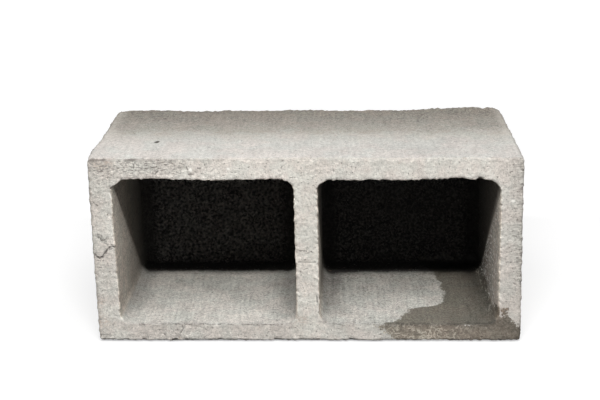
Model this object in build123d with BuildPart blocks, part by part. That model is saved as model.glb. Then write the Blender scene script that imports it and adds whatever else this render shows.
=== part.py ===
"""Hollow concrete building block with two cells, closed at one bed.

The block lies on one of its face shells. X runs along the block, Y runs from the open bed at
the front to the closed bed at the back, and Z runs up through the two face shells. The origin
is on the floor, under the middle of the block.

It is one casting. A steel mould box gives it flat outer faces with blunt arrises, and two
tapered cores, drawn out through the open bed, leave the cells. The cores stop short of the
far bed, so the same concrete closes both cells there, and their corners are rounded so that
the green concrete lets go of them.
"""

import os
from math import atan2, degrees

from build123d import *

# Overall size, in millimetres
block_length = 400.0
course_height = 190.0
wall_thickness = 180.0

# Walls, measured at the open bed, where the cells are widest
end_web = 21.5
centre_web = 21.5
face_shell = 19.0

# Concrete that closes the cells at the far bed
closed_bed = 22.0

# Cores: what each side loses by the blind end, and their corner radii
core_draw = 2.5
core_corner_radius = 11.0
core_end_radius = 6.0

# Edges: the four long corners of the mould box, the arrises round both beds, the cell mouths
mould_corner_radius = 4.0
arris_radius = 2.0
mouth_radius = 1.0

# What follows from these sizes
cell_count = 2
cell_depth = course_height - closed_bed
cell_length = (block_length - 2 * end_web - (cell_count - 1) * centre_web) / cell_count
cell_height = wall_thickness - 2 * face_shell
cell_pitch = cell_length + centre_web
core_draft = degrees(atan2(core_draw, cell_depth))

# The open bed, looking into the cells
open_bed = Plane(
    origin=(0, -course_height / 2, wall_thickness / 2),
    x_dir=(-1, 0, 0),
    z_dir=(0, 1, 0),
)

with BuildPart() as concrete_block:
    # The mould box, filled
    with BuildSketch(open_bed):
        Rectangle(block_length, wall_thickness)
    extrude(amount=course_height)
    fillet(concrete_block.edges().filter_by(Axis.Y), radius=mould_corner_radius)
    beds = concrete_block.faces().filter_by(Axis.Y)
    fillet(beds.edges(), radius=arris_radius)

    # The two cores, side by side, each narrowing from its mouth to its blind end
    with BuildSketch(open_bed):
        with GridLocations(cell_pitch, 0, cell_count, 1):
            RectangleRounded(cell_length, cell_height, core_corner_radius)
    extrude(amount=cell_depth, taper=core_draft, mode=Mode.SUBTRACT)

    # Across Y lie the rim, the blind ends of the cells and the closed bed, in that order
    rim, blind_ends, _ = concrete_block.faces().filter_by(Axis.Y).group_by(Axis.Y)
    mouth_edges = [edge for wire in rim[0].inner_wires() for edge in wire.edges()]
    fillet(blind_ends.edges(), radius=core_end_radius)
    fillet(mouth_edges, radius=mouth_radius)

concrete_block.part.label = "concrete_block"

os.makedirs("parts", exist_ok=True)
export_step(concrete_block.part, "parts/concrete_block.step")
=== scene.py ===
from math import pi, radians

import bpy
import numpy as np
from mathutils import Matrix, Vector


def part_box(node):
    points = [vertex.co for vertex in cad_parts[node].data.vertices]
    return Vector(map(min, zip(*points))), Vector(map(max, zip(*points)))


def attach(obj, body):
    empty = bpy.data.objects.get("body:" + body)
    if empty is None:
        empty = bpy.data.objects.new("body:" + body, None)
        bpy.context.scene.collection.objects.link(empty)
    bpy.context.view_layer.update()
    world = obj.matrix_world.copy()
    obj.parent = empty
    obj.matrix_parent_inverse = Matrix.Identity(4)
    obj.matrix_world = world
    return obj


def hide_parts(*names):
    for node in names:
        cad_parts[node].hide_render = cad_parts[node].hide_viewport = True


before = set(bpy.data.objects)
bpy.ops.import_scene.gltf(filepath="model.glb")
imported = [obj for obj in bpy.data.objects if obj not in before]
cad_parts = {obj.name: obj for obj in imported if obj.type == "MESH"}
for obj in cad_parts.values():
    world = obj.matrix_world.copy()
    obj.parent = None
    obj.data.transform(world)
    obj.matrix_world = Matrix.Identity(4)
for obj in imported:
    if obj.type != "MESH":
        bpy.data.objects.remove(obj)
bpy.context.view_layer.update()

# The casting: one piece of pressed, no-slump concrete. Its faces are as flat as the steel mould
# left them, with blunt ragged arrises, and two tapered cores left the cells. Lengths are in
# millimetres here, in the CAD model's frame, and become metres when the mesh is made.
low, high = (np.array(corner) * 1000 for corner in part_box("concrete_block"))
half_length = (high[0] - low[0]) / 2
front, back = low[1], high[1]
wall_middle = (low[2] + high[2]) / 2
half_wall = (high[2] - low[2]) / 2

end_web = 21.5
centre_web = 21.5
face_shell = 19.0
closed_bed = 22.0
core_draw = 2.5
core_corner = 11.0
blind_corner = 6.0
mould_corner = 4.0
arris = 2.0
mouth_arris = 1.0

cell_half = (2 * half_length - 2 * end_web - centre_web) / 4
cell_half_up = half_wall - face_shell
cell_centre = centre_web / 2 + cell_half
blind_end = back - closed_bed
cell_depth = blind_end - front

# The mesh has this many columns along and up each cell, and half as many away from the edges. It
# is fine this far in from the mouths, the open bed and the closed bed
columns_across = 132
columns_up = 112
rim_rings = 12
fine_mouth = 15.0
fine_front = 14.0
fine_back = 12.0
join_row = 2.0


def side(half, out, start, end, columns):
    """One side of a rounded rectangle, in equal steps of arc length from its first corner's middle.

    It climbs a quarter arc's second half of radius start, runs straight, and goes down the first
    half of the next arc, of radius end. The result is (distance along the side, distance out).
    """
    first, last = start * pi / 4, end * pi / 4
    flat = 2 * half - start - end
    travel = np.arange(columns) / columns * (first + flat + last)
    rise = (first - np.clip(travel, 0, first)) / max(start, 1e-9)
    run = np.clip(travel - first, 0, flat)
    fall = np.clip(travel - first - flat, 0, last) / max(end, 1e-9)
    along = -half + start * (1 - np.sin(rise)) + run + end * np.sin(fall)
    outward = out - start * (1 - np.cos(rise)) - end * (1 - np.cos(fall))
    return along, outward


def ring(centre, half, half_up, corners, across, up):
    """A rounded rectangle about (centre, wall_middle), clockwise as seen from the front.

    corners holds the radii at top left, top right, bottom right and bottom left.
    """
    a, b, c, d = corners
    top, right = side(half, half_up, a, b, across), side(half_up, half, b, c, up)
    bottom, left = side(half, half_up, c, d, across), side(half_up, half, d, a, up)
    x = np.concatenate([top[0], right[1], -bottom[0], -left[1]]) + centre
    z = np.concatenate([top[1], -right[0], -bottom[1], left[0]]) + wall_middle
    return np.stack([x, z], axis=1)


def at_depth(outline, y):
    """Puts an outline of (x, z) points into the plane across Y at that depth."""
    return np.insert(outline, 1, y, axis=1)


def stack_rings(rings):
    """Quads between neighbouring rings of equal length: column j joins column j + 1 round the ring."""
    points = np.array(rings)
    rows, count = points.shape[:2]
    i, j = np.meshgrid(np.arange(rows - 1), np.arange(count), indexing="ij")
    k = (j + 1) % count
    quads = np.stack([i * count + j, i * count + k, (i + 1) * count + k, (i + 1) * count + j], axis=-1)
    return points.reshape(-1, 3), quads.reshape(-1, 4)


def halve_ring(fine, coarse):
    """Triangles between a ring and one of half its count: each coarse step meets two fine steps."""
    count = len(coarse)
    c = np.arange(count) + len(fine)
    c_next = np.roll(c, -1)
    f0 = np.arange(count) * 2
    f1 = f0 + 1
    f2 = (f0 + 2) % len(fine)
    corners = [(f0, f1, c), (f1, c_next, c), (f1, f2, c_next)]
    triangles = np.concatenate([np.stack(corner, axis=1) for corner in corners])
    return np.concatenate([fine, coarse]), triangles


def cap(outline, across, up):
    """Closes a ring with a grid.

    Each point is the sum of the two straight blends between opposite sides, less the blend of the
    four corners.
    """
    top = outline[: across + 1]
    right = outline[across : across + up + 1]
    bottom = outline[across + up : 2 * across + up + 1][::-1]
    left = np.concatenate([outline[2 * across + up :], outline[:1]])[::-1]
    u = np.linspace(0, 1, across + 1)[None, :, None]
    v = np.linspace(0, 1, up + 1)[:, None, None]
    sides = (1 - v) * top[None] + v * bottom[None] + (1 - u) * left[:, None] + u * right[:, None]
    corners = (1 - v) * ((1 - u) * top[0] + u * top[-1]) + v * ((1 - u) * bottom[0] + u * bottom[-1])
    grid = sides - corners
    i, j = np.meshgrid(np.arange(up), np.arange(across), indexing="ij")
    a = i * (across + 1) + j
    quads = np.stack([a, a + 1, a + across + 2, a + across + 1], axis=-1)
    return grid.reshape(-1, 3), quads.reshape(-1, 4)


def quarter(count):
    """Angles of a quarter turn in equal steps, without its start."""
    return np.arange(1, count + 1) / count * pi / 2


def depths(start, end, first, last):
    """Distances from start to end in steps that change evenly from about first to about last."""
    count = max(2, round((end - start) / ((first + last) / 2)))
    steps = np.linspace(first, last, count)
    return start + np.cumsum(steps) * (end - start) / steps.sum()


def cell_ring(centre, y, grow, share=1):
    """A mouth's outline, made larger all round by grow, at a depth and with one column in share."""
    return at_depth(ring(centre, cell_half + grow, cell_half_up + grow, [core_corner + grow] * 4,
                         columns_across // share, columns_up // share), y)


def core_ring(centre, y, inset=0.0, share=1):
    """The core's outline at a depth: the mouth's, less the draft gained on the way in, less inset."""
    return cell_ring(centre, y, -core_draw * (y - front) / cell_depth - inset, share)


# Rim, mouth, walls and blind end of each cell. Their faces come out turned into the concrete, so
# they are flipped as they are kept
cells = []
for hand in (-1, 1):
    centre = hand * cell_centre
    flat_half = (half_length - arris) / 2
    rounded = mould_corner - arris
    corners = [rounded, 0, 0, rounded] if hand < 0 else [0, rounded, rounded, 0]
    outer = ring(hand * flat_half, flat_half, half_wall - arris, corners, columns_across, columns_up)
    outer = at_depth(outer, front)
    mouth = cell_ring(centre, front, mouth_arris)
    rim = [outer + (mouth - outer) * share for share in np.linspace(0, 1, rim_rings)]
    rim += [cell_ring(centre, front + mouth_arris * (1 - np.cos(turn)), mouth_arris * (1 - np.sin(turn)))
            for turn in quarter(2)]
    fine = [core_ring(centre, y) for y in depths(front + mouth_arris, front + fine_mouth, 1.2, 1.4)]
    coarse = [core_ring(centre, y, share=2)
              for y in depths(front + fine_mouth, blind_end - blind_corner, 2.4, 5.5)]
    cells += [stack_rings(rim + fine), halve_ring(fine[-1], coarse[0])]
    coarse += [core_ring(centre, blind_end - blind_corner * (1 - np.sin(turn)),
                         blind_corner * (1 - np.cos(turn)), share=2) for turn in quarter(4)]
    cells += [stack_rings(coarse), cap(coarse[-1], columns_across // 2, columns_up // 2)]
sheets = [(points, faces[:, ::-1]) for points, faces in cells]

# The outside, from the rim's edge round the front arris, back along the faces and over the closed bed
around = columns_across * 2


def outside_ring(y, inset=0.0, share=1):
    """The block's outline at a depth, moved in by inset, with one column in share."""
    corner = max(mould_corner - inset, 0)
    return at_depth(ring(0, half_length - inset, half_wall - inset, [corner] * 4,
                         around // share, columns_up // share), y)


nose = [outside_ring(front, arris)]
nose += [outside_ring(front + arris * (1 - np.cos(turn)), arris * (1 - np.sin(turn))) for turn in quarter(3)]
nose += [outside_ring(y) for y in depths(front + arris, front + fine_front, 1.2, 1.5)]
body = [outside_ring(y, share=2) for y in depths(front + fine_front, back - fine_back - join_row, 3.0, 3.0)]
tail = [outside_ring(back - fine_back)]
tail += [outside_ring(y) for y in depths(back - fine_back, back - arris, 1.5, 1.2)]
tail += [outside_ring(back - arris * (1 - np.sin(turn)), arris * (1 - np.cos(turn))) for turn in quarter(3)]
bed_edge = outside_ring(back, arris + 1.5, share=2)
points, faces = halve_ring(tail[0], body[-1])
sheets += [
    stack_rings(nose), halve_ring(nose[-1], body[0]), stack_rings(body), (points, faces[:, ::-1]),
    stack_rings(tail), halve_ring(tail[-1], bed_edge), cap(bed_edge, around // 2, columns_up // 2),
]

# All sheets meet point to point, so equal points become one
offset, all_points, quads, triangles = 0, [], [], []
for points, faces in sheets:
    all_points.append(points)
    (quads if faces.shape[1] == 4 else triangles).append(faces + offset)
    offset += len(points)
all_points = np.concatenate(all_points)
first, same = np.unique(np.round(all_points, 3), axis=0, return_index=True, return_inverse=True)[1:]
casting_points = all_points[first]
quads, triangles = (same.reshape(-1)[np.concatenate(faces)] for faces in (quads, triangles))


def unit_normals(points):
    """Each point's normal: the cross products of its faces' diagonals or edges, added and made one long."""
    total = np.zeros_like(points)
    for faces in (quads, triangles):
        a, b, c, d = (points[faces[:, k % faces.shape[1]]] for k in range(4))
        area = np.cross(c - a, d - b) if faces.shape[1] == 4 else np.cross(b - a, c - a)
        for k in range(faces.shape[1]):
            np.add.at(total, faces[:, k], area)
    return total / np.linalg.norm(total, axis=1, keepdims=True)


def lumps(points, size, seed):
    """Smooth noise from -1 to 1 with lumps about one size wide.

    Each corner of a lattice holds a random value, and the eight round a point are blended with the
    fade curve 3t^2 - 2t^3.
    """
    lattice = 32
    table = np.random.RandomState(seed).uniform(-1, 1, (lattice, lattice, lattice))
    cell = points / size + seed
    base = np.floor(cell).astype(int)
    t = cell - base
    t = t * t * (3 - 2 * t)
    total = np.zeros(len(points))
    for corner in np.ndindex(2, 2, 2):
        weight = np.prod(np.where(corner, t, 1 - t), axis=1)
        i, j, k = ((base + corner) % lattice).T
        total += weight * table[i, j, k]
    return total


def near(distance, reach):
    """1 at no distance, fading to 0 as a bell one reach wide."""
    return np.exp(-(distance / reach) ** 2)


def climb(value, start, end):
    """0 up to start, and then in a straight line to 1 at end."""
    return np.clip((value - start) / (end - start), 0, 1)


def line_at(value, points):
    """The line drawn through (place, height) points, read at each value."""
    places, heights = zip(*points)
    return np.interp(value, places, heights)


x, y, z = casting_points.T
up = z - wall_middle
depth = y - front
normals = unit_normals(casting_points)

# How far each point is from a cell's mouth, from the outer arrises and from the blind ends
corner_x = np.abs(np.abs(x) - cell_centre) - (cell_half - core_corner)
corner_z = np.abs(up) - (cell_half_up - core_corner)
mouth_gap = (np.hypot(np.maximum(corner_x, 0), np.maximum(corner_z, 0))
             + np.minimum(np.maximum(corner_x, corner_z), 0) - core_corner)
in_cell = (mouth_gap < mouth_arris + 0.01) & (y < blind_end + 0.1) & (y > front + 0.01)
far_off = 99
mouth_distance = np.select([in_cell, depth < 30], [depth, np.maximum(mouth_gap, 0)], far_off)
box_gaps = np.sort(np.stack([half_length - np.abs(x), back - np.abs(y), half_wall - np.abs(up)]), axis=0)
arris_distance = np.where(in_cell, far_off, box_gaps[1])
membrane = np.where(in_cell, climb(depth, cell_depth - blind_corner, cell_depth), 0)

# Damp, as a distance inside its outline: it crept in at the lower right of the open bed, over the
# floor and wall of that cell and up the rim
floor_edge = line_at(y, [
    (-96, 62), (-93, 73), (-90.5, 82), (-79, 88), (-67, 94), (-57, 98), (-53, 113), (-50, 126),
    (-47, 129), (-38, 131), (-15, 134), (13, 132), (28, 129), (73, 115),
])
floor_damp = np.minimum(x - floor_edge, line_at(depth, [(0, 37), (12, 32), (35, 27)]) - z)
rim_edge = line_at(x, [
    (64, 20), (164, 22), (169, 27), (174, 30), (177, 25), (180, 24.5), (187, 24.5), (192, 20.5),
    (197, 17.5), (201, 17),
])
rim_damp = np.minimum(rim_edge - z, 0.7 * (x - 61.5 - 0.9 * (19 - z)))
rim_spot = 2.6 - np.hypot(x - 183, z - 32.5)
side_damp = np.minimum(16 - z - 0.2 * depth, x - 120)
damp = np.select([in_cell, depth < 0.5], [floor_damp, np.maximum(rim_damp, rim_spot)], side_damp)
# A darker band on the cell floor beyond a diagonal line near the right wall
dark_band_edge = line_at(y, [(-96, 183), (-73, 179), (-13, 169.5), (36, 156), (73, 146)])
dark_band = np.where(in_cell, x - dark_band_edge, -20)

# Relief: soft waves and grain all over, ragged arrises and mouths, and rough blind ends. The
# noise's lattice is turned, so that it never lies along a face
turned = casting_points @ np.array(Matrix.Rotation(0.7, 3, (0.3, 1, 0.5)))
ragged = near(np.minimum(mouth_distance, arris_distance), 3.0)
relief = 0.40 * lumps(turned, 55, 1) + 0.14 * lumps(turned, 7, 2) + 0.20 * lumps(turned, 2.7, 3) - 0.35
relief += 0.5 * near(mouth_distance, 6)
relief += ragged * (0.95 * lumps(turned, 2.3, 4) - 1.2 * np.maximum(lumps(turned, 5.5, 5) - 0.3, 0)
                    - 0.5 * np.maximum(lumps(turned, 15, 6) - 0.1, 0))
relief += membrane * (1.8 * lumps(turned, 6, 7) + 1.3 * lumps(turned, 3.2, 8) - 1.0)

# Pits, chips and one proud white stone: place, radius, depth
pits = [
    ((-142.7, -35.8, 180), 2.4, 1.5), ((-106, -95, 168.3), 2.2, -0.9), ((-110.5, -95, 170), 1.8, 1.2),
    ((-101, -95, 166), 1.8, 1.0), ((-143, -95, 169.4), 2.0, 0.9), ((-177.6, -95, 171.3), 1.8, 0.9),
    ((-192, -95, 103), 2.0, 1.0), ((-7, -95, 85.5), 1.6, 1.0), ((-189.8, -95, 4), 2.4, 0.6),
    ((-169.7, -95, 4), 2.4, 0.7), ((-153.8, -95, 4), 2.2, 0.6), ((-124.2, -95, 4), 2.6, 1.2),
    ((-84, -95, 0), 3.0, 1.0), ((-30, -95, 0), 3.4, 1.2), ((40, -95, 0), 3.2, 1.2),
    ((158, -95, 161.5), 2.5, 1.6),
]
for place, radius, sunk in pits:
    relief -= sunk * near(np.linalg.norm(casting_points - place, axis=1), radius)
casting_points = casting_points + normals * relief[:, None]
moved_x, moved_z = casting_points[:, 0], casting_points[:, 2]

# The closed bed's upper edge was left wavy
crest = line_at(x, [
    (-200, -1.0), (-186, 0.3), (-165, 0.8), (-150, 0.4), (-115, -0.8), (-100, -0.7), (-85, 0.2),
    (-70, -0.7), (-40, -0.5), (5, 0.4), (25, -0.7), (54, -0.7), (66, -0.1), (92, -0.7), (112, 0.2),
    (124, 1.2), (134, 2.2), (146, 1.7), (158, 3.0), (166, 3.3), (174, 2.9), (181, 1.5), (186, 2.9),
    (193, 1.6), (200, -0.6),
])
moved_z += crest * near(back - y, 9) * climb(up, 70, 90)

# The long upper arrises: the front left corner is rubbed, the left arris swells behind it, both lie
# a little to the right further back, and the right end is narrower at the rim
rubbed = near(depth, 9) * near(half_wall - up, 12) * near(x + half_length, 7)
swollen = near(depth - 36, 26) * near(half_wall - up, 10) * near(x + half_length, 9) * (depth < 100)
both_arrises = near(half_wall - up, 16) * near(half_length - np.abs(x), 9) * climb(depth, 0, 30)
right_end = near(x - half_length, 9) * near(depth, 25)
moved_x += 0.7 * rubbed - 2.2 * swollen + 0.5 * both_arrises - 0.5 * right_end
moved_z -= 0.5 * rubbed

# The cores sat a little to the left and low: the centre web is off the middle, the left cell's wall
# lies further out, the right cell's wall comes in, and the upper shell's lip is thicker
moved_x -= 0.6 * near(x, 22)
moved_x -= 0.8 * near(mouth_distance, 8) * near(x + 178.5, 8) * climb(up, -5, 15)
moved_x -= 1.3 * near(x - 178, 5) * in_cell * climb(depth, 0, 7) * climb(depth, 130, 70)
upper_lip = line_at(x, [
    (-175, 1.2), (-160, 0.7), (-146, 0.5), (-135, 0.0), (-128, 0.3), (-122, 1.3), (-98, 1.3),
    (-84, 1.6), (-62, 1.8), (-47, 1.1), (-33, 0.5), (-22, 1.3), (-14, 2.2), (16, 2.2), (24, 1.5),
    (35, 2.3), (46, 1.6), (53, 2.8), (60, 1.7), (75, 2.3), (100, 2.0), (119, 1.2), (126, 1.6),
    (134, -0.1), (141, 0.2), (148, 0.8), (156, 1.7), (163, 1.2), (172, 2.4),
])
moved_z -= upper_lip * near(mouth_distance, 8) * near(up - cell_half_up, 9)

# The outer upper corners of both mouths are filled, and the left one has a notch under it
for hand, reach, less_x, less_z in ((-1, 6.5, 1.3, 1.5), (1, 7.0, 0.9, 1.1)):
    filled = near(np.hypot(x - hand * 175.3, z - 157.8), reach) * near(depth, 14)
    moved_x -= hand * less_x * filled
    moved_z -= less_z * filled
moved_x -= 1.6 * near(np.hypot(x + 178.0, z - 152.2), 1.7) * near(mouth_distance, 5)

# The lower front arris is worn more than the others, and nothing goes below the floor
moved_z += 1.75 * near(depth, 5) * near(z, 5)
np.maximum(moved_z, 0, out=moved_z)

# The real block leans: its top sits a little to the left of its bottom, within the same length
lean = 2.9
moved_x *= 1 - lean / (2 * half_length)
moved_x -= lean * (moved_z - wall_middle) / (2 * half_wall)
x, y, z = casting_points.T

# Where the rim is torn in streaks, where it is rusty, and the line along its upper arris
on_rim = near(depth, 2.5)
torn_corner = near(z - 171, 9) * climb(x, -108, -124)
torn_right = near(half_length - x, 9) * (z > 55)
torn_left = 0.35 * near(half_length + x, 7) * (z < 165)
torn_place = on_rim * np.maximum(torn_corner, np.maximum(torn_right, torn_left))
rust_spots = [
    (-190, 174, 4.5), (-181, 175, 4.5), (-196, 40, 5), (-194, 22, 7), (182.8, 32.9, 3.5), (-6, 24, 5),
]
rusty_place = on_rim * sum(near(np.hypot(x - spot_x, z - spot_z), reach)
                           for spot_x, spot_z, reach in rust_spots)
line_strength = line_at(x, [
    (-199, 1.0), (-184, 1.0), (-181, 0.36), (-167, 0.36), (-165, 1.0), (-156, 1.0), (-153, 0.28),
    (-130, 0.26), (-90, 0.2), (-60, 0.12), (0, 0.1), (60, 0.03),
])
line_place = line_strength * near(half_wall - up - 1.2, 1.1) * (depth < 1.5)

carried = {
    "in_cell": in_cell, "depth": depth, "membrane": membrane, "damp": damp, "dark_band": dark_band,
    "arris": near(arris_distance, 1.6), "lip": near(mouth_distance, 2.2), "torn": torn_place,
    "rusty": np.minimum(rusty_place, 1), "line": line_place,
}
casting_mesh = bpy.data.meshes.new("block_casting")
casting_mesh.from_pydata((casting_points / 1000).tolist(), [], quads.tolist() + triangles.tolist())
casting_mesh.polygons.foreach_set("use_smooth", np.ones(len(casting_mesh.polygons), bool))
for name, values in carried.items():
    attribute = casting_mesh.attributes.new(name, "FLOAT", "POINT")
    attribute.data.foreach_set("value", values.astype(np.float32))
casting = bpy.data.objects.new("block_casting", casting_mesh)
bpy.context.scene.collection.objects.link(casting)


def feed(tree, socket, value):
    """Links an output to a socket, or sets the socket to a plain value."""
    if isinstance(value, bpy.types.NodeSocket):
        tree.links.new(value, socket)
    else:
        socket.default_value = value


def calc(tree, operation, *values):
    """A sum, product or other sum-like step on values."""
    made = tree.nodes.new("ShaderNodeMath")
    made.operation = operation
    for socket, value in zip(made.inputs, values):
        feed(tree, socket, value)
    return made.outputs[0]


def chained(tree, operation, values):
    """The same step on the first two values, then on its result and the third, and so on."""
    total = values[0]
    for value in values[1:]:
        total = calc(tree, operation, total, value)
    return total


def product(tree, *values):
    """All the values multiplied."""
    return chained(tree, "MULTIPLY", values)


def added(tree, *values):
    """All the values added up."""
    return chained(tree, "ADD", values)


def largest(tree, *values):
    """The largest of the values."""
    return chained(tree, "MAXIMUM", values)


def vector_calc(tree, operation, *values):
    """A step on vectors. A length or a dot product comes out as a number, the rest as a vector."""
    made = tree.nodes.new("ShaderNodeVectorMath")
    made.operation = operation
    for socket, value in zip(made.inputs, values):
        feed(tree, socket, value)
    return made.outputs[1 if operation in ("LENGTH", "DOT_PRODUCT") else 0]


def tinted(tree, share, colour, other, kind="MIX"):
    """A colour with a share of another in it. A plain colour is (red, green, blue)."""
    made = tree.nodes.new("ShaderNodeMix")
    made.data_type = "RGBA"
    made.blend_type = kind
    feed(tree, made.inputs[0], share)
    for socket, value in zip((made.inputs[6], made.inputs[7]), (colour, other)):
        feed(tree, socket, (*value, 1) if isinstance(value, tuple) else value)
    return made.outputs[2]


def filtered(tree, colour, other):
    """A colour multiplied by another, or by a number."""
    return tinted(tree, 1.0, colour, other, "MULTIPLY")


def layered(tree, colour, layers):
    """A colour with others laid over it, one after the other. Layers are (share, colour)."""
    for share, other in layers:
        colour = tinted(tree, share, colour, other)
    return colour


def fade(tree, value, start, end, low=0.0, high=1.0):
    """Goes smoothly from low to high as value goes from start to end."""
    made = tree.nodes.new("ShaderNodeMapRange")
    made.interpolation_type = "SMOOTHSTEP"
    for socket, number in zip(made.inputs, (value, start, end, low, high)):
        feed(tree, socket, number)
    return made.outputs[0]


def grain(tree, place, scale, detail=3.0, roughness=0.55, output="Fac"):
    """Fractal noise about 0.5, with lumps 1 / scale metres wide."""
    made = tree.nodes.new("ShaderNodeTexNoise")
    for socket, value in (("Vector", place), ("Scale", scale), ("Detail", detail), ("Roughness", roughness)):
        feed(tree, made.inputs[socket], value)
    return made.outputs[output]


def swing(tree, noise, size, middle=0.0):
    """Noise about 0.5 made into one of that size about a middle."""
    return calc(tree, "MULTIPLY_ADD", noise, size, middle - size / 2)


def ramp(tree, value, stops):
    """A run of colours; stops are (position, red, green, blue)."""
    made = tree.nodes.new("ShaderNodeValToRGB")
    while len(made.color_ramp.elements) < len(stops):
        made.color_ramp.elements.new(1)
    for element, (position, *colour) in zip(made.color_ramp.elements, stops):
        element.position = position
        element.color = (*colour, 1)
    feed(tree, made.inputs[0], value)
    return made.outputs[0]


def measured(tree, name):
    """A value that the mesh carries at each point."""
    made = tree.nodes.new("ShaderNodeAttribute")
    made.attribute_name = name
    return made.outputs["Fac"]


# A line or a spot on the surface: 1 on the straight line from Start to End, 0 at Reach from it
line_group = bpy.data.node_groups.new("crack_line", "ShaderNodeTree")
for name in ("Place", "Start", "End"):
    line_group.interface.new_socket(name, in_out="INPUT", socket_type="NodeSocketVector")
line_group.interface.new_socket("Reach", in_out="INPUT", socket_type="NodeSocketFloat")
line_group.interface.new_socket("Mask", in_out="OUTPUT", socket_type="NodeSocketFloat")
line_in = line_group.nodes.new("NodeGroupInput")
line_out = line_group.nodes.new("NodeGroupOutput")
along = vector_calc(line_group, "SUBTRACT", line_in.outputs["End"], line_in.outputs["Start"])
reached = vector_calc(line_group, "SUBTRACT", line_in.outputs["Place"], line_in.outputs["Start"])
share = calc(line_group, "DIVIDE", vector_calc(line_group, "DOT_PRODUCT", reached, along),
             vector_calc(line_group, "DOT_PRODUCT", along, along))
share = calc(line_group, "MINIMUM", calc(line_group, "MAXIMUM", share, 0.0), 1.0)
nearest = line_group.nodes.new("ShaderNodeVectorMath")
nearest.operation = "SCALE"
feed(line_group, nearest.inputs[0], along)
feed(line_group, nearest.inputs["Scale"], share)
miss = vector_calc(line_group, "LENGTH", vector_calc(line_group, "SUBTRACT", reached, nearest.outputs[0]))
miss_share = calc(line_group, "DIVIDE", miss, line_in.outputs["Reach"])
feed(line_group, line_out.inputs["Mask"], fade(line_group, miss_share, 1.0, 0.3))


def line_mask(tree, place, reach, chains):
    """The strongest of several lines, each a chain of points in millimetres.

    A point is (x, y, z), or (x, z) where it lies on the rim.
    """
    total = 0.0
    for chain in chains:
        points = [point if len(point) == 3 else (point[0], front, point[1]) for point in chain]
        for start, end in zip(points, points[1:]):
            made = tree.nodes.new("ShaderNodeGroup")
            made.node_tree = line_group
            feed(tree, made.inputs["Place"], place)
            made.inputs["Start"].default_value = [value / 1000 for value in start]
            made.inputs["End"].default_value = [value / 1000 for value in end]
            made.inputs["Reach"].default_value = reach / 1000
            total = calc(tree, "MAXIMUM", made.outputs["Mask"], total)
    return total


# The concrete's colours, with places in metres as Object coordinates are. Six noises go from clouds
# down to dust, with the streaks that the cores drew and the level tears of the rim
black = (0.0, 0.0, 0.0)
concrete = bpy.data.materials.new("cast_concrete")
concrete.use_nodes = True
mix = concrete.node_tree
surface = mix.nodes["Principled BSDF"]
place = mix.nodes.new("ShaderNodeTexCoord").outputs["Object"]
parts = mix.nodes.new("ShaderNodeSeparateXYZ")
mix.links.new(place, parts.inputs[0])
at_x, at_y, at_z = parts.outputs
off_centre = calc(mix, "ABSOLUTE", at_x)
inside, inward, blind = measured(mix, "in_cell"), measured(mix, "depth"), measured(mix, "membrane")
open_face = calc(mix, "SUBTRACT", 1.0, blind)

cloud = grain(mix, place, 11, 3)
blotch = grain(mix, place, 48, 4, 0.6)
sand = grain(mix, place, 360, 4, 0.7)
dust = grain(mix, place, 850, 2, 0.7)
drawn = grain(mix, vector_calc(mix, "MULTIPLY", place, (360, 26, 360)), 1, 3)
torn = grain(mix, vector_calc(mix, "MULTIPLY", place, (230, 230, 860)), 1, 3, 0.6)

# Faces: pale at the open bed, and darker and browner towards the closed bed
drift = added(mix, swing(mix, blotch, 0.34), swing(mix, drawn, 0.14), swing(mix, cloud, 0.2))
from_front = added(mix, calc(mix, "MULTIPLY_ADD", at_y, 1000 / (back - front), 0.5), drift)
faces_tone = ramp(mix, from_front, [
    (0.0, 0.552, 0.536, 0.508), (0.30, 0.518, 0.503, 0.474), (0.45, 0.445, 0.43, 0.395),
    (0.56, 0.325, 0.307, 0.275), (0.78, 0.255, 0.238, 0.21), (1.0, 0.195, 0.178, 0.152),
])
front_right = product(mix, fade(mix, at_x, 0.0, 0.12), fade(mix, from_front, 0.5, 0.25, 0.0, 0.06))
faces_tone = layered(mix, faces_tone, [
    (front_right, black), (fade(mix, at_y, 0.0915, 0.0945), (0.43, 0.414, 0.38)),
])

# Rim: the palest part, a little paler on the centre web and duller at the ends and at the bottom
rim_share = fade(mix, at_y, -0.0915, -0.0940)
rim_tone = tinted(mix, fade(mix, off_centre, 0.022, 0.010), (0.655, 0.623, 0.572), (0.685, 0.655, 0.598))
dull_left = product(mix, fade(mix, at_x, -0.176, -0.186, 0.0, 0.06), fade(mix, at_z, 0.03, 0.07))
rim_tone = layered(mix, rim_tone, [
    (largest(mix, fade(mix, at_x, 0.172, 0.188, 0.0, 0.13), dull_left), black),
    (fade(mix, at_z, 0.034, 0.016, 0.0, 0.04), black),
])
base = tinted(mix, rim_share, faces_tone, rim_tone)

# Cells: painted light and shade. The walls and the floor are painted lighter at the mouth and darker towards
# the blind end, which is painted nearly black as the shade deep in the cells. The floor's painted shadow
# ends in a line that bends at the cell's sides and comes nearer in the right cell
cell_side = cell_half / 1000
right_cell = fade(mix, at_x, 0.0, 0.01)
off_middle = calc(mix, "ABSOLUTE", calc(mix, "SUBTRACT", off_centre, cell_centre / 1000))
beside_wall = fade(mix, off_middle, cell_side - 0.032, cell_side - 0.004)
along_cell = added(mix, calc(mix, "DIVIDE", inward, 170.0), product(mix, drift, 0.25))
bed_place = added(
    mix, along_cell, product(mix, beside_wall, 0.012),
    product(mix, right_cell, fade(mix, at_x, 0.055, 0.025, 0.018, 0.040)),
    fade(mix, off_middle, cell_side - 0.014, cell_side - 0.002, 0.0, -0.045),
)
walls_tone = ramp(mix, along_cell, [
    (0.0, 0.76, 0.71, 0.645), (0.06, 0.74, 0.69, 0.625), (0.3, 0.62, 0.578, 0.522),
    (0.45, 0.47, 0.437, 0.394), (0.65, 0.32, 0.3, 0.27), (0.85, 0.2, 0.19, 0.175),
    (1.0, 0.06, 0.057, 0.052),
])
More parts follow.
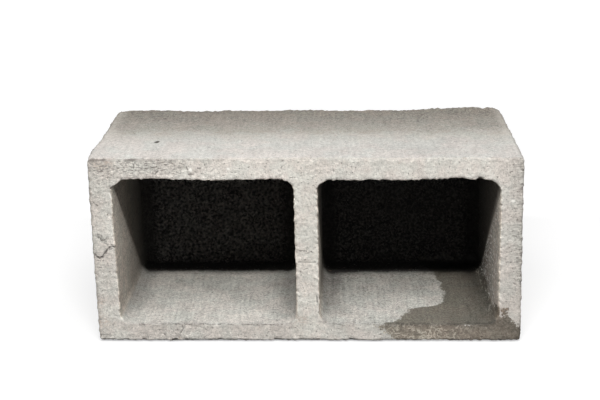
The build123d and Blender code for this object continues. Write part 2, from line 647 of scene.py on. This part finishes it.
beds_tone = ramp(mix, bed_place, [
    (0.0, 0.545, 0.53, 0.49), (0.2, 0.565, 0.548, 0.505), (0.35, 0.565, 0.548, 0.502),
    (0.6, 0.515, 0.497, 0.452), (0.75, 0.47, 0.452, 0.408), (0.80, 0.28, 0.268, 0.241),
    (0.83, 0.03, 0.028, 0.026),
])
# Painted shadow on the right cell's outer wall: above a line that follows the edge of the upper shell's
# shade, the wall is painted darker
painted_shadow_line = calc(mix, "MULTIPLY_ADD", at_z, 1000.0, product(mix, inward, 0.85))
painted_shadow_line = added(mix, painted_shadow_line, swing(mix, sand, 16.0))
painted_shadow = product(mix, fade(mix, painted_shadow_line, 143, 150), fade(mix, at_x, 0.166, 0.174, 0.0, 0.68))
# Painted shade: the right cell's walls are painted darker further in
walls_tone = layered(mix, filtered(mix, walls_tone, (1.03, 1.0, 0.955)), [
    (product(mix, right_cell, fade(mix, inward, 20, 90, 0.0, 0.3)), black), (painted_shadow, black),
])
# Painted shade in the floor's corners beside the walls, and the right cell's floor a little darker
beds_tone = layered(mix, beds_tone, [
    (product(mix, right_cell, 0.13), black),
    (product(mix, beside_wall, fade(mix, inward, -15, 60, 0.0, 0.34)), (0.02, 0.018, 0.015)),
])
# The blind end is painted nearly black as painted shade, with grain in it and darker painted shade at its
# sides
blind_tone = ramp(mix, grain(mix, place, 400, 4, 0.7), [
    (0.43, 0.005, 0.005, 0.005), (0.62, 0.47, 0.447, 0.415),
])
blind_side_shade = fade(mix, off_middle, cell_side - 0.024, cell_side - 0.010, 0.0, 0.9)
blind_tone = layered(mix, blind_tone, [
    (blind_side_shade, (0.055, 0.052, 0.048)), (product(mix, right_cell, 0.6), black),
])
cells_tone = tinted(mix, fade(mix, at_z, 0.027, 0.022), walls_tone, beds_tone)
cells_tone = tinted(mix, blind, cells_tone, blind_tone)
base = tinted(mix, inside, base, cells_tone)

# Sand and dust all over, with more contrast in the cells and towards the back, and less on the rim
speckle = added(
    mix, swing(mix, sand, 1.15), swing(mix, dust, 1.1), swing(mix, blotch, 0.45), swing(mix, drawn, 0.4),
    product(mix, swing(mix, torn, 0.6), rim_share),
)
cell_contrast = product(mix, inside, calc(mix, "MULTIPLY_ADD", right_cell, 0.35, 1.45))
face_contrast = product(mix, calc(mix, "SUBTRACT", 1.0, inside), fade(mix, at_y, -0.02, 0.08, 0.95, 1.8))
calm_rim = product(mix, rim_share, fade(mix, at_x, -0.1, -0.04))
contrast = product(mix, added(mix, cell_contrast, face_contrast),
                   calc(mix, "MULTIPLY_ADD", calm_rim, -0.22, 1.0))
strength = calc(mix, "MULTIPLY_ADD", speckle, contrast, swing(mix, cloud, 0.35, 1.0))
base = filtered(mix, base, largest(mix, strength, 0.15))
hue = fade(mix, grain(mix, vector_calc(mix, "ADD", place, (2, 8, 5)), 42, 3, 0.6), 0.38, 0.62)
base = filtered(mix, base, tinted(mix, hue, (1.02, 0.988, 0.98), (0.985, 1.0, 0.995)))

# Pores, pale stones, brown grit, and salt flecks on the right cell's outer wall
pores = fade(mix, grain(mix, vector_calc(mix, "ADD", place, (3, 1, 2)), 430, 2), 0.36, 0.30)
stones = fade(mix, grain(mix, vector_calc(mix, "ADD", place, (1, 5, 2)), 400, 2), 0.66, 0.73)
grit = fade(mix, grain(mix, vector_calc(mix, "ADD", place, (7, 2, 4)), 210, 2), 0.66, 0.74)
salty_wall = product(mix, inside, open_face, fade(mix, at_x, 0.168, 0.174), fade(mix, inward, 4, 14),
                     fade(mix, painted_shadow, 0.2, 0.0))
flecks = grain(mix, vector_calc(mix, "MULTIPLY", place, (480, 130, 480)), 1, 2)
base = layered(mix, base, [
    (product(mix, salty_wall, 0.12), black),
    (product(mix, pores, 0.5), (0.08, 0.07, 0.06)),
    (product(mix, stones, open_face, 0.35), (0.76, 0.742, 0.70)),
    (product(mix, grit, open_face, 0.3), (0.30, 0.2, 0.13)),
    (product(mix, salty_wall, fade(mix, flecks, 0.54, 0.62, 0.0, 0.85)), (1.0, 0.97, 0.91)),
])

# The upper face's ends are paler. The arrises and the lower lips of the cells are painted darker, as painted
# shade that takes the highlight off their rounding, and the lowest arris most, as the painted shadow under
# the block
pale_end = product(mix, fade(mix, off_centre, 0.183, 0.196), fade(mix, at_y, -0.05, 0.0),
                   fade(mix, at_z, 0.17, 0.176, 0.0, 0.2))
arris_share = measured(mix, "arris")
lower_lip = product(mix, measured(mix, "lip"), fade(mix, at_z, 0.024, 0.020))
painted_edge_shade = largest(mix, product(mix, arris_share, fade(mix, at_z, 0.0038, 0.001, 0.38, 0.85)),
                    product(mix, lower_lip, 0.3))
base = layered(mix, base, [(pale_end, (0.75, 0.71, 0.64)), (painted_edge_shade, (0.05, 0.042, 0.035))])

# Damp darkens the concrete it has crept into, and leaves veins of salt on the rim
creep = added(mix, swing(mix, sand, 22.0), swing(mix, blotch, 20.0))
wet = fade(mix, added(mix, measured(mix, "damp"), creep), -0.8, 1.2)
# The damp floor is darker still beyond that diagonal line
dark_band_share = fade(mix, added(mix, measured(mix, "dark_band"), creep), -4, 4, 0.0, 0.2)
veins = calc(mix, "ABSOLUTE", calc(mix, "SUBTRACT", grain(mix, place, 210, 3), 0.5))
salt = product(mix, fade(mix, veins, 0.075, 0.015), fade(mix, grain(mix, place, 90, 2), 0.40, 0.50),
               rim_share, fade(mix, at_x, 0.17, 0.11, 0.12, 0.72))
wet_mouth = product(mix, fade(mix, at_x, 0.115, 0.14), fade(mix, inward, 48, 10, 0.0, 0.2))
wet_corner = product(mix, rim_share, fade(mix, at_x, 0.165, 0.185, 0.0, 0.14))
wet_tint = layered(mix, tinted(mix, inside, (0.385, 0.348, 0.306), (0.345, 0.33, 0.298)), [
    (fade(mix, blotch, 0.42, 0.6, 0.0, 0.35), (0.2, 0.175, 0.14)),
    (fade(mix, dust, 0.40, 0.58, 0.0, 0.3), (0.5, 0.48, 0.44)),
    (dark_band_share, (0.12, 0.115, 0.105)),
    (wet_mouth, black),
    (wet_corner, black),
    (salt, (0.88, 0.84, 0.77)),
])
base = tinted(mix, wet, base, filtered(mix, base, wet_tint))
wet_edge = product(mix, wet, largest(mix, product(mix, lower_lip, 0.6), product(mix, arris_share, 0.45)))
base = tinted(mix, wet_edge, base, (0.03, 0.026, 0.02))

# Cracks, chips and specks. The cracks run on a shaken place, so that their sides are ragged
shake = 0.0035
wobble = vector_calc(mix, "SUBTRACT", grain(mix, place, 420, 4, 0.7, "Color"), (0.5, 0.5, 0.5))
shaken = vector_calc(mix, "ADD", place, vector_calc(mix, "MULTIPLY", wobble, (shake, shake, shake)))
wide_cracks = line_mask(mix, shaken, 1.5, [
    [(-196.2, 87.2), (-192.2, 84.7), (-189.4, 85.7), (-184.8, 93), (-180.9, 96.9), (-177.7, 95.2)],
    [(-192.6, 103.8), (-190.1, 101.6), (-185.9, 101.0)],
])
fine_cracks = line_mask(mix, shaken, 0.9, [
    [(-9.2, 92.3), (-3.5, 91.3), (0.5, 89.8), (4.2, 91.2)], [(-8.7, 86.8), (-6.2, 85)],
    [(-166.3, 20.3), (-160.7, 18.8), (-150.4, 18.8)], [(17, 24), (24, 19), (34, 18)],
    [(-137, -94.6, 18.6), (-71.3, -94.6, 18.4)], [(-62, -94.6, 18.2), (-24, -94.6, 18.0)],
    [(183, 80), (188.5, 80.3)], [(-117.9, 17.8), (-117.5, 14.7), (-119.5, 10)],
    [(-195.1, 82.2), (-188.6, 82.2)], [(-187.2, 99.2), (-186.6, 98.8)], [(-194.7, 107.7), (-189.2, 107.2)],
    [(-192.7, 105.0), (-188.7, 101.5), (-184.5, 97.8)], [(-188.7, 101.5), (-184.9, 104.3)],
    [(-184.6, 93.3), (-179.6, 93.9)],
])
chips = line_mask(mix, place, 1.6, [
    [(-189.4, 2.4), (-187.5, 2.6)], [(-172.8, 2.8), (-169.5, 3.0)], [(-155.2, 2.8), (-153, 3.2)],
    [(-127.6, 3.0), (-123.6, 3.4)], [(-178.9, 151.9), (-177.2, 152.8)],
])
upper_pit = line_mask(mix, place, 2.7, [[(-143.7, -35.4, 179.2), (-142.1, -32.4, 179.2)]])
specks = line_mask(mix, place, 1.1, [
    [(-109.3, 170.9), (-108.3, 170.3)], [(-98.4, 170.8), (-96.6, 171)], [(-107.2, 165.2), (-104.8, 164.8)],
    [(-102.3, 165.9), (-100.8, 167.2)], [(-144, 170.3), (-142.3, 167.5)], [(-137.8, 165.6), (-135, 168.4)],
    [(-109.1, 171.9), (-108.0, 169.8)], [(-99.0, 170.9), (-96.3, 170.7)], [(-105.5, 165.9), (-103.1, 164.9)],
    [(-101.8, 167.5), (-100.5, 166.8)], [(-193.4, 7.6), (-189, 8.4)], [(8.4, 47), (9.0, 41)],
    [(10, 31), (11, 29)], [(-8.2, 80.6), (-1, 80.3), (7.5, 80.4)], [(-74.8, 21.7, 19), (-73.2, 21.7, 19)],
])
crumbs = line_mask(mix, place, 2.0, [
    [(-105.6, -95.7, 169.6), (-104.9, -95.7, 168.9)], [(-71.5, 170.1), (-71, 170.1)],
    [(187, 139), (188, 139)], [(-178.9, 147), (-178.6, 144)],
])
pale_lip = line_mask(mix, shaken, 1.5, [[(-185.9, 26.6), (-176.5, 24.6), (-170, 22)]])
tears = product(mix, measured(mix, "torn"), fade(mix, torn, 0.48, 0.39))
rust = product(mix, measured(mix, "rusty"), fade(mix, torn, 0.48, 0.58, 0.0, 0.5))
arris_line = product(mix, measured(mix, "line"), fade(mix, blotch, 0.6, 0.4, 0.85, 1.1))
# The chips and the pit on the upper face are painted dark, as painted shade inside them; the wide cracks are
# dark lines
sunk = largest(mix, product(mix, wide_cracks, fade(mix, sand, 0.60, 0.42, 0.3, 0.85)),
               product(mix, largest(mix, chips, upper_pit), 0.9))
base = layered(mix, base, [
    (rust, (0.40, 0.26, 0.17)),
    (product(mix, tears, 0.66), (0.12, 0.1, 0.085)),
    (arris_line, (0.1, 0.088, 0.078)),
    (largest(mix, product(mix, crumbs, 0.85), product(mix, pale_lip, 0.35)), (0.90, 0.875, 0.82)),
    (largest(mix, sunk, product(mix, fine_cracks, 0.55), product(mix, specks, 0.6)), (0.045, 0.038, 0.032)),
])

# Light that has already bounced finds the cells darker, so they stay as deep as in a dim room
rays = mix.nodes.new("ShaderNodeLightPath")
base = tinted(mix, product(mix, rays.outputs["Is Diffuse Ray"], inside, 0.8), base, black)
mix.links.new(base, surface.inputs["Base Color"])

# Damp concrete is smoother. The bump holds sand, pores, tears and cracks, in millimetres
surface.inputs["Specular IOR Level"].default_value = 0.3
rough = calc(mix, "MULTIPLY_ADD", sand, 0.16, 0.82)
mix.links.new(calc(mix, "MULTIPLY_ADD", wet, -0.3, rough), surface.inputs["Roughness"])
height = added(
    mix, product(mix, sand, 0.9), product(mix, dust, 0.35), product(mix, blotch, 0.9),
    product(mix, pores, -0.5), product(mix, tears, -0.3), product(mix, sunk, -0.8),
    product(mix, blind, grain(mix, place, 170, 3), 2.5),
)
bump = mix.nodes.new("ShaderNodeBump")
bump.inputs["Distance"].default_value = 0.001
bump.inputs["Strength"].default_value = 0.8
mix.links.new(height, bump.inputs["Height"])
mix.links.new(bump.outputs[0], surface.inputs["Normal"])
casting_mesh.materials.append(concrete)

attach(casting, "root")
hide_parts("concrete_block")

# The floor: a plain pale sheet of paper, laid flat. A glow that grows away from the block, where
# less lamp light falls, keeps it white to the camera. It is duller as a bounce, so the block's own
# shade stays as deep as it is in a dim room.
floor_mesh = bpy.data.meshes.new("floor")
floor_mesh.from_pydata([(-6, -4, 0), (6, -4, 0), (6, 8, 0), (-6, 8, 0)], [], [(0, 1, 2, 3)])
floor = bpy.data.objects.new("floor", floor_mesh)
bpy.context.scene.collection.objects.link(floor)
paper = bpy.data.materials.new("floor_paper")
paper.use_nodes = True
sheet = paper.node_tree
paper_surface = sheet.nodes["Principled BSDF"]
paper_surface.inputs["Roughness"].default_value = 1.0
paper_surface.inputs["Specular IOR Level"].default_value = 0.0


def seen_share(tree):
    """1 for what the camera sees, also in a reflection, and 0 for light that bounces."""
    path = tree.nodes.new("ShaderNodeLightPath")
    return largest(tree, path.outputs["Is Camera Ray"], path.outputs["Is Glossy Ray"])


seen = seen_share(sheet)
sheet.links.new(tinted(sheet, seen, (0.06, 0.06, 0.06), (0.5, 0.5, 0.5)), paper_surface.inputs["Base Color"])
from_block = vector_calc(sheet, "LENGTH", sheet.nodes.new("ShaderNodeTexCoord").outputs["Object"])
glow = sheet.nodes.new("ShaderNodeEmission")
feed(sheet, glow.inputs["Strength"], product(sheet, seen, fade(sheet, from_block, 0.2, 2.4, 0.515, 1.0)))
both = sheet.nodes.new("ShaderNodeAddShader")
sheet.links.new(paper_surface.outputs[0], both.inputs[0])
sheet.links.new(glow.outputs[0], both.inputs[1])
sheet.links.new(both.outputs[0], sheet.nodes["Material Output"].inputs["Surface"])
floor_mesh.materials.append(paper)

# The light: three low strips in front, which draw the hard shade line across the cells, and a large
# soft panel above. The world is white to the camera. To everything else it is dim, brighter from
# the right and brightest low behind the block.
world = bpy.data.worlds.new("studio")
bpy.context.scene.world = world
world.use_nodes = True
sky = world.node_tree
toward = sky.nodes.new("ShaderNodeSeparateXYZ")
sky.links.new(sky.nodes.new("ShaderNodeTexCoord").outputs["Generated"], toward.inputs[0])
to_x, to_y, to_z = toward.outputs
from_right = fade(sky, to_x, -0.1, 0.6)
low_behind = product(sky, fade(sky, to_y, 0.2, 0.7), fade(sky, to_z, 0.45, 0.15))
fill = layered(sky, (0.008, 0.008, 0.008), [
    (from_right, (0.28, 0.28, 0.28)), (low_behind, (0.75, 0.75, 0.75)), (seen_share(sky), (1.0, 1.0, 1.0)),
])
sky.links.new(fill, sky.nodes["Background"].inputs["Color"])


def panel(name, place, aim, width, height, watts):
    """A flat rectangular lamp at place that faces aim, its width level."""
    lamp_data = bpy.data.lights.new(name, "AREA")
    lamp_data.shape = "RECTANGLE"
    lamp_data.size, lamp_data.size_y = width, height
    lamp_data.energy = watts
    lamp = bpy.data.objects.new(name, lamp_data)
    away = np.array(place) - np.array(aim)
    away = away / np.linalg.norm(away)
    level = np.cross((0, 0, 1), away)
    level = level / np.linalg.norm(level)
    turn = Matrix(np.stack([level, np.cross(away, level), away], axis=1).tolist()).to_4x4()
    lamp.matrix_world = Matrix.Translation(place) @ turn
    bpy.context.scene.collection.objects.link(lamp)


mouth_top = np.array([0, front, high[2] - face_shell]) / 1000
strip_rise = radians(44.6)
strip_far = 3.0
strip_height = 0.07
for name, across, width, watts in (
    ("key_strip", -0.05, 1.8, 74), ("left_strip", -2.2, 0.5, 25), ("right_strip", 2.2, 0.5, 24),
):
    strip_place = mouth_top + (across, -strip_far * np.cos(strip_rise), strip_far * np.sin(strip_rise))
    panel(name, strip_place, mouth_top, width, strip_height, watts)
panel("soft_top", (0.0, -0.9, 2.6), (0, 0, 0.1), 1.8, 1.6, 32)

# The camera: a pinhole fitted to the photograph, in front of the block, above it and a little to
# the right of its middle. The turns are in degrees, and the focal length is in the photograph's
# pixels.
photo_width = 600
focal_length = 1351.8
camera_place = (0.02175, -1.27145, 0.5049)
camera_left = 1.367
camera_down = 17.203
camera_roll = -0.525
camera_data = bpy.data.cameras.new("camera")
camera_data.sensor_width = 36
camera_data.lens = camera_data.sensor_width * focal_length / photo_width
camera = bpy.data.objects.new("camera", camera_data)
camera.matrix_world = (Matrix.Translation(camera_place)
                       @ Matrix.Rotation(radians(camera_left), 4, "Z")
                       @ Matrix.Rotation(radians(90 - camera_down), 4, "X")
                       @ Matrix.Rotation(radians(camera_roll), 4, "Z"))
bpy.context.scene.collection.objects.link(camera)
bpy.context.scene.camera = camera
bpy.context.scene.view_settings.view_transform = "Standard"
